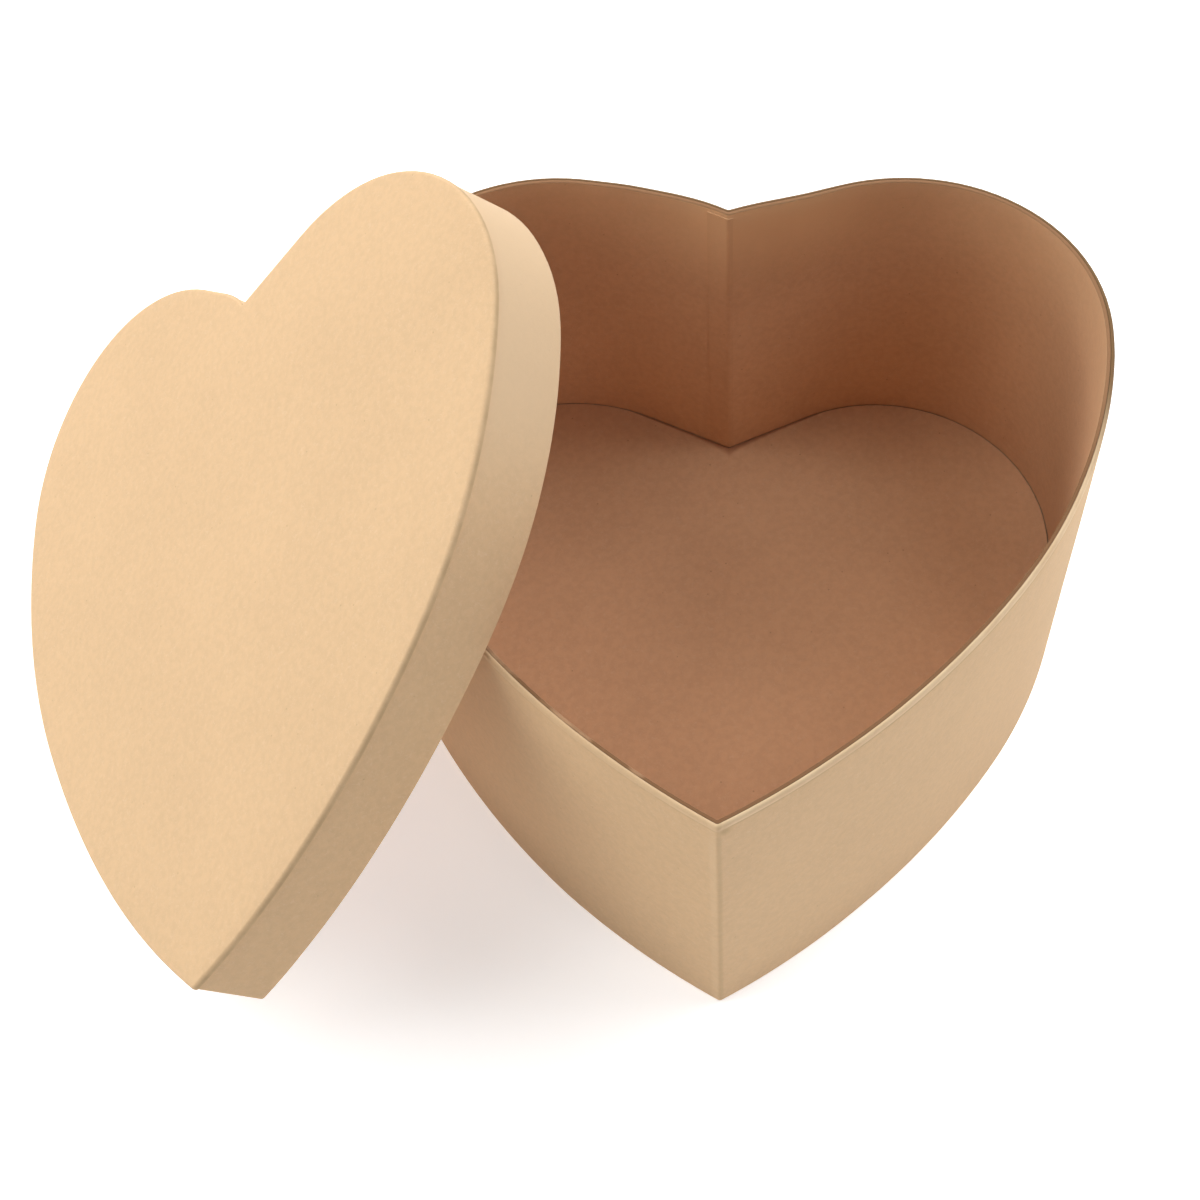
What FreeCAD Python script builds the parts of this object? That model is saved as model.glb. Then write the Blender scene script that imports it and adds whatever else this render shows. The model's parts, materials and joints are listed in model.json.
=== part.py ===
import FreeCAD, Part
import math
import os

# A heart-shaped rigid gift box of kraft board and paper: an open tray, and its lift-off lid
# taken off and leaning on the tray's left side, with its lower edge on the table.
# Millimetres, +Z up. The cleft of the heart is towards +Y, its tip towards -Y, and the origin
# is the middle of the tray's underside.

# Heart outline on the outside of the tray wall, angles in degrees
BOX_WIDTH = 150.0
BOX_LENGTH = 150.0       # from the tops of the lobes to the tip
CLEFT_FLANK = 20.0       # straight run from each lobe down to the cleft
CLEFT_SLOPE = 25.5       # fall of that run
SHOULDER_END = 123.0     # bearing from +Y at which the shoulder arc meets the side arc
TIP_ANGLE = 121.0        # between the two sides at the tip

# Sheet stock
PAPER = 0.2
GLUE = 0.05
WALL_BOARD = 1.1
BASE_BOARD = 1.5
TOP_BOARD = 1.2

# Tray
TRAY_HEIGHT = 80.0
BASE_COVER_INSET = 2.0   # underside paper, back from the wall

# Lid
LID_DEPTH = 16.5
LID_CLEARANCE = 0.7      # between the lid's lining and the tray's wrap when the box is shut
TOP_COVER_INSET = 0.8    # top paper, back from the edge

# Joints in board and paper
TURN_OVER = 10.0         # wrap paper glued down round the edge of the base or the top
BOARD_FIT = 0.1          # round the edge of a panel board, inside its wall strip
BUTT_GAP = 0.2           # between the two ends of a wall strip, at the cleft
STAY_WIDTH = 14.0        # paper strip folded into the cleft over those ends
LINING_GAP = 0.5         # round the edge of a panel lining

# Where the lid leans
LID_TURN = 1.2           # degrees about the vertical
LID_SHIFT = -14.0        # middle of the lid's top, along the tray
LID_STANDOFF = 23.4      # middle of the lid's top, out from the tray's side
REST_GAP = 0.3           # between the lid's open edge and the tray's rim
FIRST_LEAN = 42.0        # degrees, where the search for its rest begins
FIRST_DIP = 10.7

# Outline: bearings run clockwise from +Y, seen from above
SLOPE = math.radians(CLEFT_SLOPE)
WIDEST = math.radians(90.0)
SHOULDER = math.radians(SHOULDER_END)
TIP = math.radians(90.0 + TIP_ANGLE / 2)

WALL = PAPER + GLUE + WALL_BOARD + GLUE + PAPER
LID_OFFSET = LID_CLEARANCE + WALL

V = FreeCAD.Vector


def heart_arcs():
    """Centre, radius, first and last bearing of the lobe, shoulder and side arcs, right half."""
    flank_across = CLEFT_FLANK * math.cos(SLOPE)
    lobe = (BOX_WIDTH / 2 - flank_across) / (math.sin(SLOPE) + 1)
    # The shoulder and side radii are those that bring the outline to the tip.
    across = BOX_WIDTH / 2
    along = BOX_LENGTH - lobe
    shoulder_in = 1 - math.sin(SHOULDER)
    shoulder_down = -math.cos(SHOULDER)
    side_in = math.sin(SHOULDER) - math.sin(TIP)
    side_down = math.cos(SHOULDER) - math.cos(TIP)
    spread = shoulder_in * side_down - side_in * shoulder_down
    shoulder = (across * side_down - side_in * along) / spread
    side = (shoulder_in * along - across * shoulder_down) / spread
    lobe_at = V(BOX_WIDTH / 2 - lobe, BOX_LENGTH / 2 - lobe, 0)
    shoulder_at = lobe_at - bearing(WIDEST, shoulder - lobe)
    side_at = shoulder_at - bearing(SHOULDER, side - shoulder)
    return ((lobe_at, lobe, -SLOPE, WIDEST),
            (shoulder_at, shoulder, WIDEST, SHOULDER),
            (side_at, side, SHOULDER, TIP))


def bearing(angle, length):
    return V(length * math.sin(angle), length * math.cos(angle), 0)


ARCS = heart_arcs()


def offset_arcs(offset):
    """The three arcs moved outwards, with the last one ending on the middle line."""
    moved = [(at, radius + offset, first, last) for at, radius, first, last in ARCS]
    at, radius, first, last = moved[-1]
    moved[-1] = (at, radius, first, math.pi - math.asin(-at.x / radius))
    return moved


def cleft_point(offset):
    at, radius, first, last = offset_arcs(offset)[0]
    start = at + bearing(first, radius)
    return V(0, start.y - start.x * math.tan(SLOPE), 0)


def heart_face(offset):
    arcs = offset_arcs(offset)
    cleft = cleft_point(offset)
    right = [Part.LineSegment(cleft, arcs[0][0] + bearing(arcs[0][2], arcs[0][1]))]
    for at, radius, first, last in arcs:
        stops = [at + bearing(angle, radius) for angle in (first, (first + last) / 2, last)]
        right.append(Part.Arc(*stops))
    right_edges = [curve.toShape() for curve in right]
    left_edges = [edge.mirror(V(0, 0, 0), V(1, 0, 0)) for edge in right_edges]
    return Part.Face(Part.Wire(right_edges + left_edges[::-1]))


def heart_block(offset, low, high):
    return heart_face(offset).translated(V(0, 0, low)).extrude(V(0, 0, high - low))


def heart_ring(outer, inner, low, high):
    return heart_block(outer, low, high).cut(heart_block(inner, low - PAPER, high + PAPER))


def cleft_zone(width, high):
    """A block over the cleft that takes in both leaves of the wall there."""
    return Part.makeBox(width, BOX_LENGTH, high, V(-width / 2, 0, 0))


class Half:
    """Levels and offsets of one half of the box, built panel down with its open edge up."""

    def __init__(self, offset, depth, panel_board, cover_inset):
        self.outer = offset
        self.depth = depth
        self.cover_inset = cover_inset
        self.board_outer = self.outer - PAPER - GLUE
        self.board_inner = self.board_outer - WALL_BOARD
        self.lining_outer = self.board_inner - GLUE
        self.inner = self.lining_outer - PAPER
        self.flange = PAPER + GLUE
        self.board_low = self.flange + PAPER + GLUE
        self.panel_top = self.board_low + panel_board
        self.cap = depth - PAPER
        self.board_high = self.cap - GLUE

    def wall_strip(self):
        ring = heart_ring(self.board_outer, self.board_inner, self.board_low, self.board_high)
        return ring.cut(cleft_zone(BUTT_GAP, self.depth))

    def panel(self):
        return heart_block(self.board_inner - BOARD_FIT, self.board_low, self.panel_top)

    def wrap(self):
        """Outside paper, turned over the open edge and glued down round the panel."""
        sleeve = heart_block(self.outer, self.flange, self.depth)
        hollow = heart_block(self.outer - PAPER, self.flange + PAPER, self.cap)
        mouth = heart_block(self.inner, self.board_high, self.depth + PAPER)
        window = heart_block(self.outer - TURN_OVER, 0, self.board_low)
        return sleeve.cut(hollow).cut(mouth).cut(window)

    def lining_ring(self):
        return heart_ring(self.lining_outer, self.inner, self.panel_top + GLUE, self.board_high)

    def wall_lining(self):
        return self.lining_ring().cut(cleft_zone(STAY_WIDTH, self.depth))

    def cleft_stay(self):
        return self.lining_ring().common(cleft_zone(STAY_WIDTH, self.depth))

    def panel_lining(self):
        low = self.panel_top + GLUE
        return heart_block(self.inner - LINING_GAP, low, low + PAPER)

    def panel_cover(self):
        return heart_block(self.outer - self.cover_inset, 0, PAPER)


TRAY = Half(0.0, TRAY_HEIGHT, BASE_BOARD, BASE_COVER_INSET)
LID = Half(LID_OFFSET, LID_DEPTH, TOP_BOARD, TOP_COVER_INSET)


def outward(x, y):
    """Distance of a point near the heart outline from it, positive outside."""
    point = V(abs(x), y, 0)
    for at, radius, first, last in ARCS:
        away = point - at
        if first <= math.atan2(away.x, away.y) <= last:
            return away.Length - radius
    return (point - cleft_point(0)).dot(bearing(-SLOPE, 1))


def outline_points(offset, steps=60):
    """Points once round the outline, from the cleft by the right side and the tip."""
    right = [cleft_point(offset)]
    for at, radius, first, last in offset_arcs(offset):
        right += [at + bearing(first + (last - first) * i / steps, radius) for i in range(steps + 1)]
    return right + [V(-point.x, point.y, 0) for point in reversed(right)]


def lid_placement(lean, dip):
    """The lid stood with its foot on the table; its own origin is the middle of its top face."""
    turn = FreeCAD.Rotation(V(0, 0, 1), LID_TURN)
    tilt = turn * FreeCAD.Rotation(V(1, 0, 0), dip) * FreeCAD.Rotation(V(0, 1, 0), -lean)
    edge = [tilt.multVec(point - V(0, 0, LID_DEPTH)) for point in outline_points(LID_OFFSET)]
    foot = min(point.z for point in edge)
    return FreeCAD.Placement(V(-BOX_WIDTH / 2 - LID_STANDOFF, LID_SHIFT, -foot), tilt)


def rim_gaps(placement):
    """Least gap from the tray's rim up to the lid's open edge, at its front and back crossings."""
    gaps = {"front": [], "back": []}
    to_lid = placement.inverse()
    for rim in (TRAY.outer, TRAY.inner):
        points = [point + V(0, 0, TRAY_HEIGHT) for point in outline_points(rim)]
        seen = [to_lid.multVec(point) for point in points]
        reach = [outward(point.x, point.y) for point in seen]
        for edge in (LID.outer, LID.inner):
            for i in range(len(seen) - 1):
                before, after = reach[i] - edge, reach[i + 1] - edge
                if before * after < 0:
                    height = seen[i].z + (seen[i + 1].z - seen[i].z) * before / (before - after)
                    gaps["front" if points[i].y < 0 else "back"].append(-LID_DEPTH - height)
    return min(gaps["front"]), min(gaps["back"])


def lean_lid():
    """Newton's search for the lean and the dip at which both crossings have the rest gap."""
    lean, dip = FIRST_LEAN, FIRST_DIP
    nudge = 0.01
    longest_step = 4.0
    close_enough = 0.001
    for step in range(40):
        front, back = rim_gaps(lid_placement(lean, dip))
        miss_front, miss_back = REST_GAP - front, REST_GAP - back
        if abs(miss_front) + abs(miss_back) < close_enough:
            break
        lean_front, lean_back = rim_gaps(lid_placement(lean + nudge, dip))
        dip_front, dip_back = rim_gaps(lid_placement(lean, dip + nudge))
        a, b = (lean_front - front) / nudge, (dip_front - front) / nudge
        c, d = (lean_back - back) / nudge, (dip_back - back) / nudge
        spread = a * d - b * c
        lean_by = (miss_front * d - b * miss_back) / spread
        dip_by = (a * miss_back - miss_front * c) / spread
        lean += max(-longest_step, min(longest_step, lean_by))
        dip += max(-longest_step, min(longest_step, dip_by))
    print(f"lid leans {lean:.3f} and dips {dip:.3f} degrees after {step} steps, "
          f"rim gaps {front:.3f} and {back:.3f} mm")
    return lid_placement(lean, dip)


def write(name, shape):
    print(f"{name}: {len(shape.Solids)} solid, {shape.Volume:.1f} mm3, valid {shape.isValid()}")
    shape.exportStep(f"parts/{name}.step")


def write_tray():
    write("tray_wall_board", TRAY.wall_strip())
    write("tray_base_board", TRAY.panel())
    write("tray_wall_wrap", TRAY.wrap())
    write("tray_wall_lining", TRAY.wall_lining())
    write("tray_cleft_stay", TRAY.cleft_stay())
    write("tray_floor_lining", TRAY.panel_lining())
    write("tray_base_cover", TRAY.panel_cover())


def write_lid():
    place = lean_lid()
    face_up = FreeCAD.Placement(V(0, 0, 0), FreeCAD.Rotation(V(0, 1, 0), 180))
    pieces = {"lid_rim_board": LID.wall_strip(), "lid_top_board": LID.panel(),
              "lid_rim_wrap": LID.wrap(), "lid_rim_lining": LID.wall_lining(),
              "lid_cleft_stay": LID.cleft_stay(), "lid_top_lining": LID.panel_lining(),
              "lid_top_cover": LID.panel_cover()}
    for name, shape in pieces.items():
        shape.Placement = place * face_up
        write(name, shape)
    print("lid top centre", place.Base, "normal", place.Rotation.multVec(V(0, 0, 1)))


os.makedirs("parts", exist_ok=True)
write_tray()
write_lid()
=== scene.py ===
import bmesh
import bpy
import json
import math
from mathutils import Matrix, Vector, noise


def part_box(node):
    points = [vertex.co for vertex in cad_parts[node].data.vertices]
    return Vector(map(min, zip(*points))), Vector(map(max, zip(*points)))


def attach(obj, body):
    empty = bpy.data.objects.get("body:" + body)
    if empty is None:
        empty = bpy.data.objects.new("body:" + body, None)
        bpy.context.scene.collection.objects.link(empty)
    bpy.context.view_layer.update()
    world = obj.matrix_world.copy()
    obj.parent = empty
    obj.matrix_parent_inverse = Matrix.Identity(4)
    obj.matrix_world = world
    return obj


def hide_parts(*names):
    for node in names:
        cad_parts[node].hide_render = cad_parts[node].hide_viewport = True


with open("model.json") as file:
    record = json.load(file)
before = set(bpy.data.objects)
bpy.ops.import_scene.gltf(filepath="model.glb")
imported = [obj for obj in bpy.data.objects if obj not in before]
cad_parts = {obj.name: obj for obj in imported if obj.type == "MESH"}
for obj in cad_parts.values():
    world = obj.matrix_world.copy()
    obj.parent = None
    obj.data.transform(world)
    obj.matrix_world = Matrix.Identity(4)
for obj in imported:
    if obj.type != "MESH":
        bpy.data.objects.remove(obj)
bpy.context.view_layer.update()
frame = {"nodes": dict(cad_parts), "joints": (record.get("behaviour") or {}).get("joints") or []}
mm = 0.001
tiny = 0.001 * mm  # points this close are one point
square = math.radians(90)

# The heart of the box, seen from above: the cleft towards +Y, the tip towards -Y.
# Bearings run clockwise from +Y, and every outline is this one moved out or in.
heart = {
    "cleftFlank": 20.0 * mm,  # straight run from each lobe down to the cleft
    "cleftSlope": math.radians(25.5),
    "shoulderEnd": math.radians(123.0),
    "tipAngle": math.radians(121.0),
    "cleftSteps": 3,
    "flankSteps": 8,
    "lobeSteps": 30,
    "shoulderSteps": 20,
    "sideSteps": 28,
    "tipSteps": 6,
}
trayLow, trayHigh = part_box("tray_wall_wrap")
boxWidth = trayHigh.x - trayLow.x
boxLength = trayHigh.y - trayLow.y
trayTop = trayHigh.z
paper = 0.2 * mm
wall = 1.6 * mm  # paper, board and paper
faceDepth = 0.01 * mm  # how near its highest point the face of the lid's top lies


def bearing(angle, length):
    return Vector((length * math.sin(angle), length * math.cos(angle), 0))


def mirrored(point):
    return Vector((-point.x, point.y, point.z))


def heartArcs():  # middles of the right half's lobe, shoulder and side, and the radii of lobe and side
    slope = heart["cleftSlope"]
    shoulderEnd = heart["shoulderEnd"]
    tipEnd = square + heart["tipAngle"] / 2
    across = boxWidth / 2
    lobe = (across - heart["cleftFlank"] * math.cos(slope)) / (math.sin(slope) + 1)
    along = boxLength - lobe
    shoulderIn = 1 - math.sin(shoulderEnd)
    shoulderDown = -math.cos(shoulderEnd)
    sideIn = math.sin(shoulderEnd) - math.sin(tipEnd)
    sideDown = math.cos(shoulderEnd) - math.cos(tipEnd)
    spread = shoulderIn * sideDown - sideIn * shoulderDown
    shoulder = (across * sideDown - sideIn * along) / spread
    side = (shoulderIn * along - across * shoulderDown) / spread
    lobeAt = Vector((across - lobe, boxLength / 2 - lobe, 0))
    shoulderAt = lobeAt - bearing(square, shoulder - lobe)
    sideAt = shoulderAt - bearing(shoulderEnd, side - shoulder)
    return lobeAt, shoulderAt, sideAt, lobe, side


lobeAt, shoulderAt, sideAt, lobeRadius, sideRadius = heartArcs()


def tipLine(spread):  # where the two sides of an outline meet, with no fold
    return sideAt.y - math.sqrt((sideRadius + spread) ** 2 - sideAt.x ** 2)


def lidPlace():  # the lid's own axes, read from its top paper: across, along, up and the middle
    up = Vector(frame["joints"][0]["axis"]).normalized()
    points = [vertex.co for vertex in frame["nodes"]["lid_top_cover"].data.vertices]
    topLevel = max(point.dot(up) for point in points)
    face = [point for point in points if topLevel - point.dot(up) < faceDepth]
    middle = sum(face, Vector()) / len(face)
    tip = max(face, key=lambda point: (point - middle).length)
    along = (middle - tip).normalized()
    across = along.cross(up)
    spread = max((point - tip).dot(across) for point in face) - boxWidth / 2
    centre = tip - along * tipLine(spread)
    turn = Matrix((across, along, up)).transposed().to_4x4()
    return Matrix.Translation(centre) @ turn


lidMatrix = lidPlace()
lidRimPoints = [lidMatrix.inverted() @ vertex.co for vertex in frame["nodes"]["lid_rim_wrap"].data.vertices]
lidOut = max(point.x for point in lidRimPoints) - boxWidth / 2
lidDepth = -min(point.z for point in lidRimPoints)
print("box measured", round(boxWidth, 4), round(boxLength, 4))
print("lid measured", round(lidOut, 5), round(lidDepth, 5))


# Camera, floor and light
photoView = {
    "target": Vector((-28.16, 16.38, 6.26)) * mm,
    "azimuth": math.radians(7.586),
    "elevation": math.radians(58.846),
    "roll": math.radians(-5.888),
    "distance": 488.75 * mm,
    "focalPixels": 2188.2,
    "framePixels": 1200,
    "sensor": 36.0,
}


def setCamera(view):
    azimuth, elevation, roll = view["azimuth"], view["elevation"], view["roll"]
    level = math.cos(elevation)
    back = Vector((math.sin(azimuth) * level, -math.cos(azimuth) * level, math.sin(elevation)))
    right = Vector((math.cos(azimuth), math.sin(azimuth), 0))
    up = back.cross(right)
    rolledRight = right * math.cos(roll) + up * math.sin(roll)
    rolledUp = up * math.cos(roll) - right * math.sin(roll)
    turn = Matrix((rolledRight, rolledUp, back)).transposed().to_4x4()
    bpy.ops.object.camera_add()
    camera = bpy.context.object
    camera.matrix_world = Matrix.Translation(view["target"] + back * view["distance"]) @ turn
    camera.data.sensor_width = view["sensor"]
    camera.data.lens = view["focalPixels"] * view["sensor"] / view["framePixels"]
    bpy.context.scene.camera = camera
    print("camera set")


studio = {
    "floorSize": 8.0,
    "floorDrop": 0.05 * mm,
    "floorColour": (0.9, 0.9, 0.9, 1),
    "floorCloud": (0.86, 0.86, 0.86, 1),
    "cloudScale": 3.0,
    "cloudDetail": 2.0,
    "cloudAmount": 0.03,
    "floorRoughness": 0.9,
    "floorSpecular": 0.2,
    "floorGlow": 0.48,  # a lit table, so that shadows stay pale
    "glowColour": (1, 1, 1, 1),
    "skyColour": (1.0, 1.0, 1.0, 1),
    "skyStrength": 0.5,  # along the horizon, dark above it
    "skyReach": 0.2,
    "aim": Vector((-0.03, 0.0, 0.03)),
    "lampSize": 0.8,
}
lamps = (  # name, place, power, colour
    ("leftLamp", Vector((-1.3, -0.1, 0.8)), 6.6, (1.0, 0.99, 0.92)),
    ("highLeftLamp", Vector((-0.75, 0.0, 1.3)), 7.2, (1.0, 1.0, 1.0)),
    ("highRightLamp", Vector((0.75, 0.3, 1.3)), 8.6, (0.96, 0.98, 1.0)),
    ("backLeftLamp", Vector((-0.95, 0.95, 0.9)), 14.2, (1.0, 1.0, 1.0)),
    ("backRightLamp", Vector((0.95, 0.95, 0.9)), 13.1, (0.94, 0.97, 1.0)),
    ("frontRightLamp", Vector((0.9, -0.9, 1.0)), 3.8, (0.92, 0.93, 1.0)),
)


def addLamp(name, at, power, colour):
    bpy.ops.object.light_add(type="AREA", location=at)
    lamp = bpy.context.object
    lamp.name = name
    lamp.rotation_euler = (studio["aim"] - at).to_track_quat("-Z", "Y").to_euler()
    lamp.data.size = studio["lampSize"]
    lamp.data.energy = power
    lamp.data.color = colour


def setSky():  # a glow along the horizon, so that the floor's far edge doesn't show
    scene = bpy.context.scene
    scene.view_settings.view_transform = "Standard"
    scene.world = bpy.data.worlds.new("studioSky")
    scene.world.use_nodes = True
    tree = scene.world.node_tree
    sky = tree.nodes["Background"]
    sky.inputs["Color"].default_value = studio["skyColour"]
    way = addNode(tree, "SeparateXYZ", {0: addNode(tree, "TexCoord").outputs["Generated"]})
    offHorizon = calc(tree, "ABSOLUTE", way.outputs["Z"])
    strength = ramp(tree, offHorizon, 0.0, studio["skyReach"], studio["skyStrength"], 0.0)
    tree.links.new(strength, sky.inputs["Strength"])


def setStage():
    setSky()
    for lamp in lamps:
        addLamp(*lamp)
    bpy.ops.object.select_all(action="DESELECT")
    bpy.ops.mesh.primitive_plane_add(size=studio["floorSize"], location=(0, 0, -studio["floorDrop"]))
    floor = bpy.context.object
    floor.name = "paleFloor"
    floor.data.materials.append(floorFinish())
    print("stage set")


# Shader groups and materials
def newGroup(name, inputs, outputs):
    group = bpy.data.node_groups.new(name, "ShaderNodeTree")
    for socket, kind in inputs:
        group.interface.new_socket(socket, in_out="INPUT", socket_type="NodeSocket" + kind)
    for socket, kind in outputs:
        group.interface.new_socket(socket, in_out="OUTPUT", socket_type="NodeSocket" + kind)
    entry = group.nodes.new("NodeGroupInput")
    leave = group.nodes.new("NodeGroupOutput")
    return group, entry.outputs, leave.inputs


def addNode(tree, kind, feeds=None, **settings):
    node = tree.nodes.new("ShaderNode" + kind)
    for name, value in settings.items():
        setattr(node, name, value)
    for socket, value in (feeds or {}).items():
        if isinstance(value, bpy.types.NodeSocket):
            tree.links.new(value, node.inputs[socket])
        else:
            node.inputs[socket].default_value = value
    return node


def calc(tree, operation, first, second=0.0, clamp=False):
    return addNode(tree, "Math", {0: first, 1: second}, operation=operation, use_clamp=clamp).outputs[0]


def times(tree, first, second):
    return calc(tree, "MULTIPLY", first, second)


def plus(tree, first, second):
    return calc(tree, "ADD", first, second)


def distanceTo(tree, value, middle):
    return calc(tree, "ABSOLUTE", calc(tree, "SUBTRACT", value, middle))


def ramp(tree, value, low, high, toLow, toHigh):
    feeds = {"Value": value, "From Min": low, "From Max": high, "To Min": toLow, "To Max": toHigh}
    return addNode(tree, "MapRange", feeds, interpolation_type="SMOOTHSTEP").outputs["Result"]


def tint(tree, amount, base, layer, mode="MIX"):
    feeds = {0: amount, 6: base, 7: layer}  # the factor and the two colours
    return addNode(tree, "Mix", feeds, data_type="RGBA", blend_type=mode).outputs[2]


def grain(tree, where, scale, detail, distortion=0.0):
    feeds = {"Vector": where, "Scale": scale, "Detail": detail, "Distortion": distortion}
    return addNode(tree, "TexNoise", feeds).outputs["Fac"]


grainLow, grainMiddle, grainHigh = 0.3, 0.5, 0.7  # most of the grain lies between these


def cloudy(tree, where, scale, detail, toLow, toHigh):  # grain stretched over the whole of a range
    return ramp(tree, grain(tree, where, scale, detail), grainLow, grainHigh, toLow, toHigh)


def inMillimetres(tree, place):
    return addNode(tree, "VectorMath", {0: place, "Scale": 1 / mm}, operation="SCALE").outputs[0]


pulpLook = {  # scales are for each millimetre
    "cloudScale": 0.035, "cloudDetail": 3.0, "clouds": 0.4,
    "mottleScale": 0.7, "mottleDetail": 4.0, "mottle": 0.7,
    "fibres": ((0.55, 11.0), (0.9, 37.0), (1.5, 71.0)),  # three sizes of curled fibre, and where each starts
    "fibreDetail": 1.0, "fibreCurl": 1.4, "fibreWidth": 0.028,
    "breakScale": 1.6, "breakDetail": 0.0, "breakLow": 0.5, "breakHigh": 0.6,  # against the fibre's own scale
    "speckScale": 0.3, "speckCore": 0.03, "speckSize": 0.08, "rareLow": 0.6, "rareHigh": 0.62,
    "toothScale": 3.2, "toothDetail": 3.0, "toothHeight": 0.5, "fibreHeight": 0.35, "mottleHeight": 0.25,
}


def fibreMask(group, where, scale, start):  # lines where the grain crosses its middle, broken up
    look = pulpLook
    moved = addNode(group, "VectorMath", {0: where, 1: (start, -start, start)}, operation="ADD").outputs[0]
    ridge = distanceTo(group, grain(group, moved, scale, look["fibreDetail"], look["fibreCurl"]), grainMiddle)
    thread = ramp(group, ridge, 0.0, look["fibreWidth"], 1.0, 0.0)
    breaks = grain(group, moved, scale * look["breakScale"], look["breakDetail"])
    return times(group, thread, ramp(group, breaks, look["breakLow"], look["breakHigh"], 0.0, 1.0))


def pulpGroup():  # pressed pulp: slow clouds, fine mottle, curled fibres and a few specks
    group, take, give = newGroup(
        "pressedPulp",
        (("Where", "Vector"), ("Sheet", "Color"), ("Fibre", "Color"), ("Speck", "Color"),
         ("Mottle", "Float"), ("Fibres", "Float"), ("Specks", "Float")),
        (("Colour", "Color"), ("Height", "Float")),
    )
    look = pulpLook
    where = inMillimetres(group, take["Where"])
    clouds = cloudy(group, where, look["cloudScale"], look["cloudDetail"], -1.0, 1.0)
    mottle = cloudy(group, where, look["mottleScale"], look["mottleDetail"], -1.0, 1.0)
    shade = plus(group, times(group, clouds, look["clouds"]), times(group, mottle, look["mottle"]))
    shade = plus(group, times(group, shade, take["Mottle"]), 1.0)
    shadeColour = addNode(group, "CombineColor", {"Red": shade, "Green": shade, "Blue": shade}).outputs[0]
    colour = tint(group, 1.0, take["Sheet"], shadeColour, "MULTIPLY")
    threads = None
    for scale, start in look["fibres"]:
        thread = fibreMask(group, where, scale, start)
        threads = thread if threads is None else calc(group, "MAXIMUM", threads, thread)
    colour = tint(group, times(group, threads, take["Fibres"]), colour, take["Fibre"])
    specks = addNode(group, "TexVoronoi", {"Vector": where, "Scale": look["speckScale"]}).outputs
    lot = addNode(group, "SeparateColor", {"Color": specks["Color"]}).outputs[0]
    rare = ramp(group, lot, look["rareLow"], look["rareHigh"], 0.0, 1.0)
    dot = times(group, ramp(group, specks["Distance"], look["speckCore"], look["speckSize"], 1.0, 0.0), rare)
    colour = tint(group, times(group, dot, take["Specks"]), colour, take["Speck"])
    height = times(group, grain(group, where, look["toothScale"], look["toothDetail"]), look["toothHeight"])
    height = plus(group, height, times(group, threads, look["fibreHeight"]))
    height = plus(group, height, times(group, mottle, look["mottleHeight"]))
    group.links.new(colour, give["Colour"])
    group.links.new(height, give["Height"])
    return group


marksLook = {  # millimetres across and along the heart, and down from the rim
    "patchScale": 0.16, "patchDetail": 3.0, "patchLeast": 0.45,
    "sideStart": -12.0, "sideEnd": 6.0, "sideLeast": 0.35,  # the painted edge marks and crease shade are strongest on the right side
    "backStart": -5.0, "backEnd": 25.0,
    "paintedLightMiddle": 10.0, "paintedLightCore": 4.0, "paintedLightReach": 32.0, "paintedLightLeast": 0.3, "paintedLightDepth": 28.0,
    "sideShadeStart": 60.0, "sideShadeEnd": 76.0, "sideShade": 0.27,  # painted shade at the widest places
    "creaseCore": 0.05,
    "tipStart": -70.0, "tipEnd": -64.0, "rimless": (90.0, 100.0),  # a piece without a rim reads far down
    "bandAt": -0.9, "bandCore": 0.2, "bandEnd": 0.95, "band": 0.3,  # painted highlight beside the fold at the tip
    "lineAt": 0.35, "lineCore": 0.1, "lineEnd": 0.7, "line": 0.2,  # painted shade along it
    # painted shade in the pinched fold under the rim
    "pinchAcross": 2.2, "pinchDown": 2.6, "pinchAt": (0.6, 0.85, 0.0), "pinchEnd": 0.9, "pinch": 0.4,
}


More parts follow.
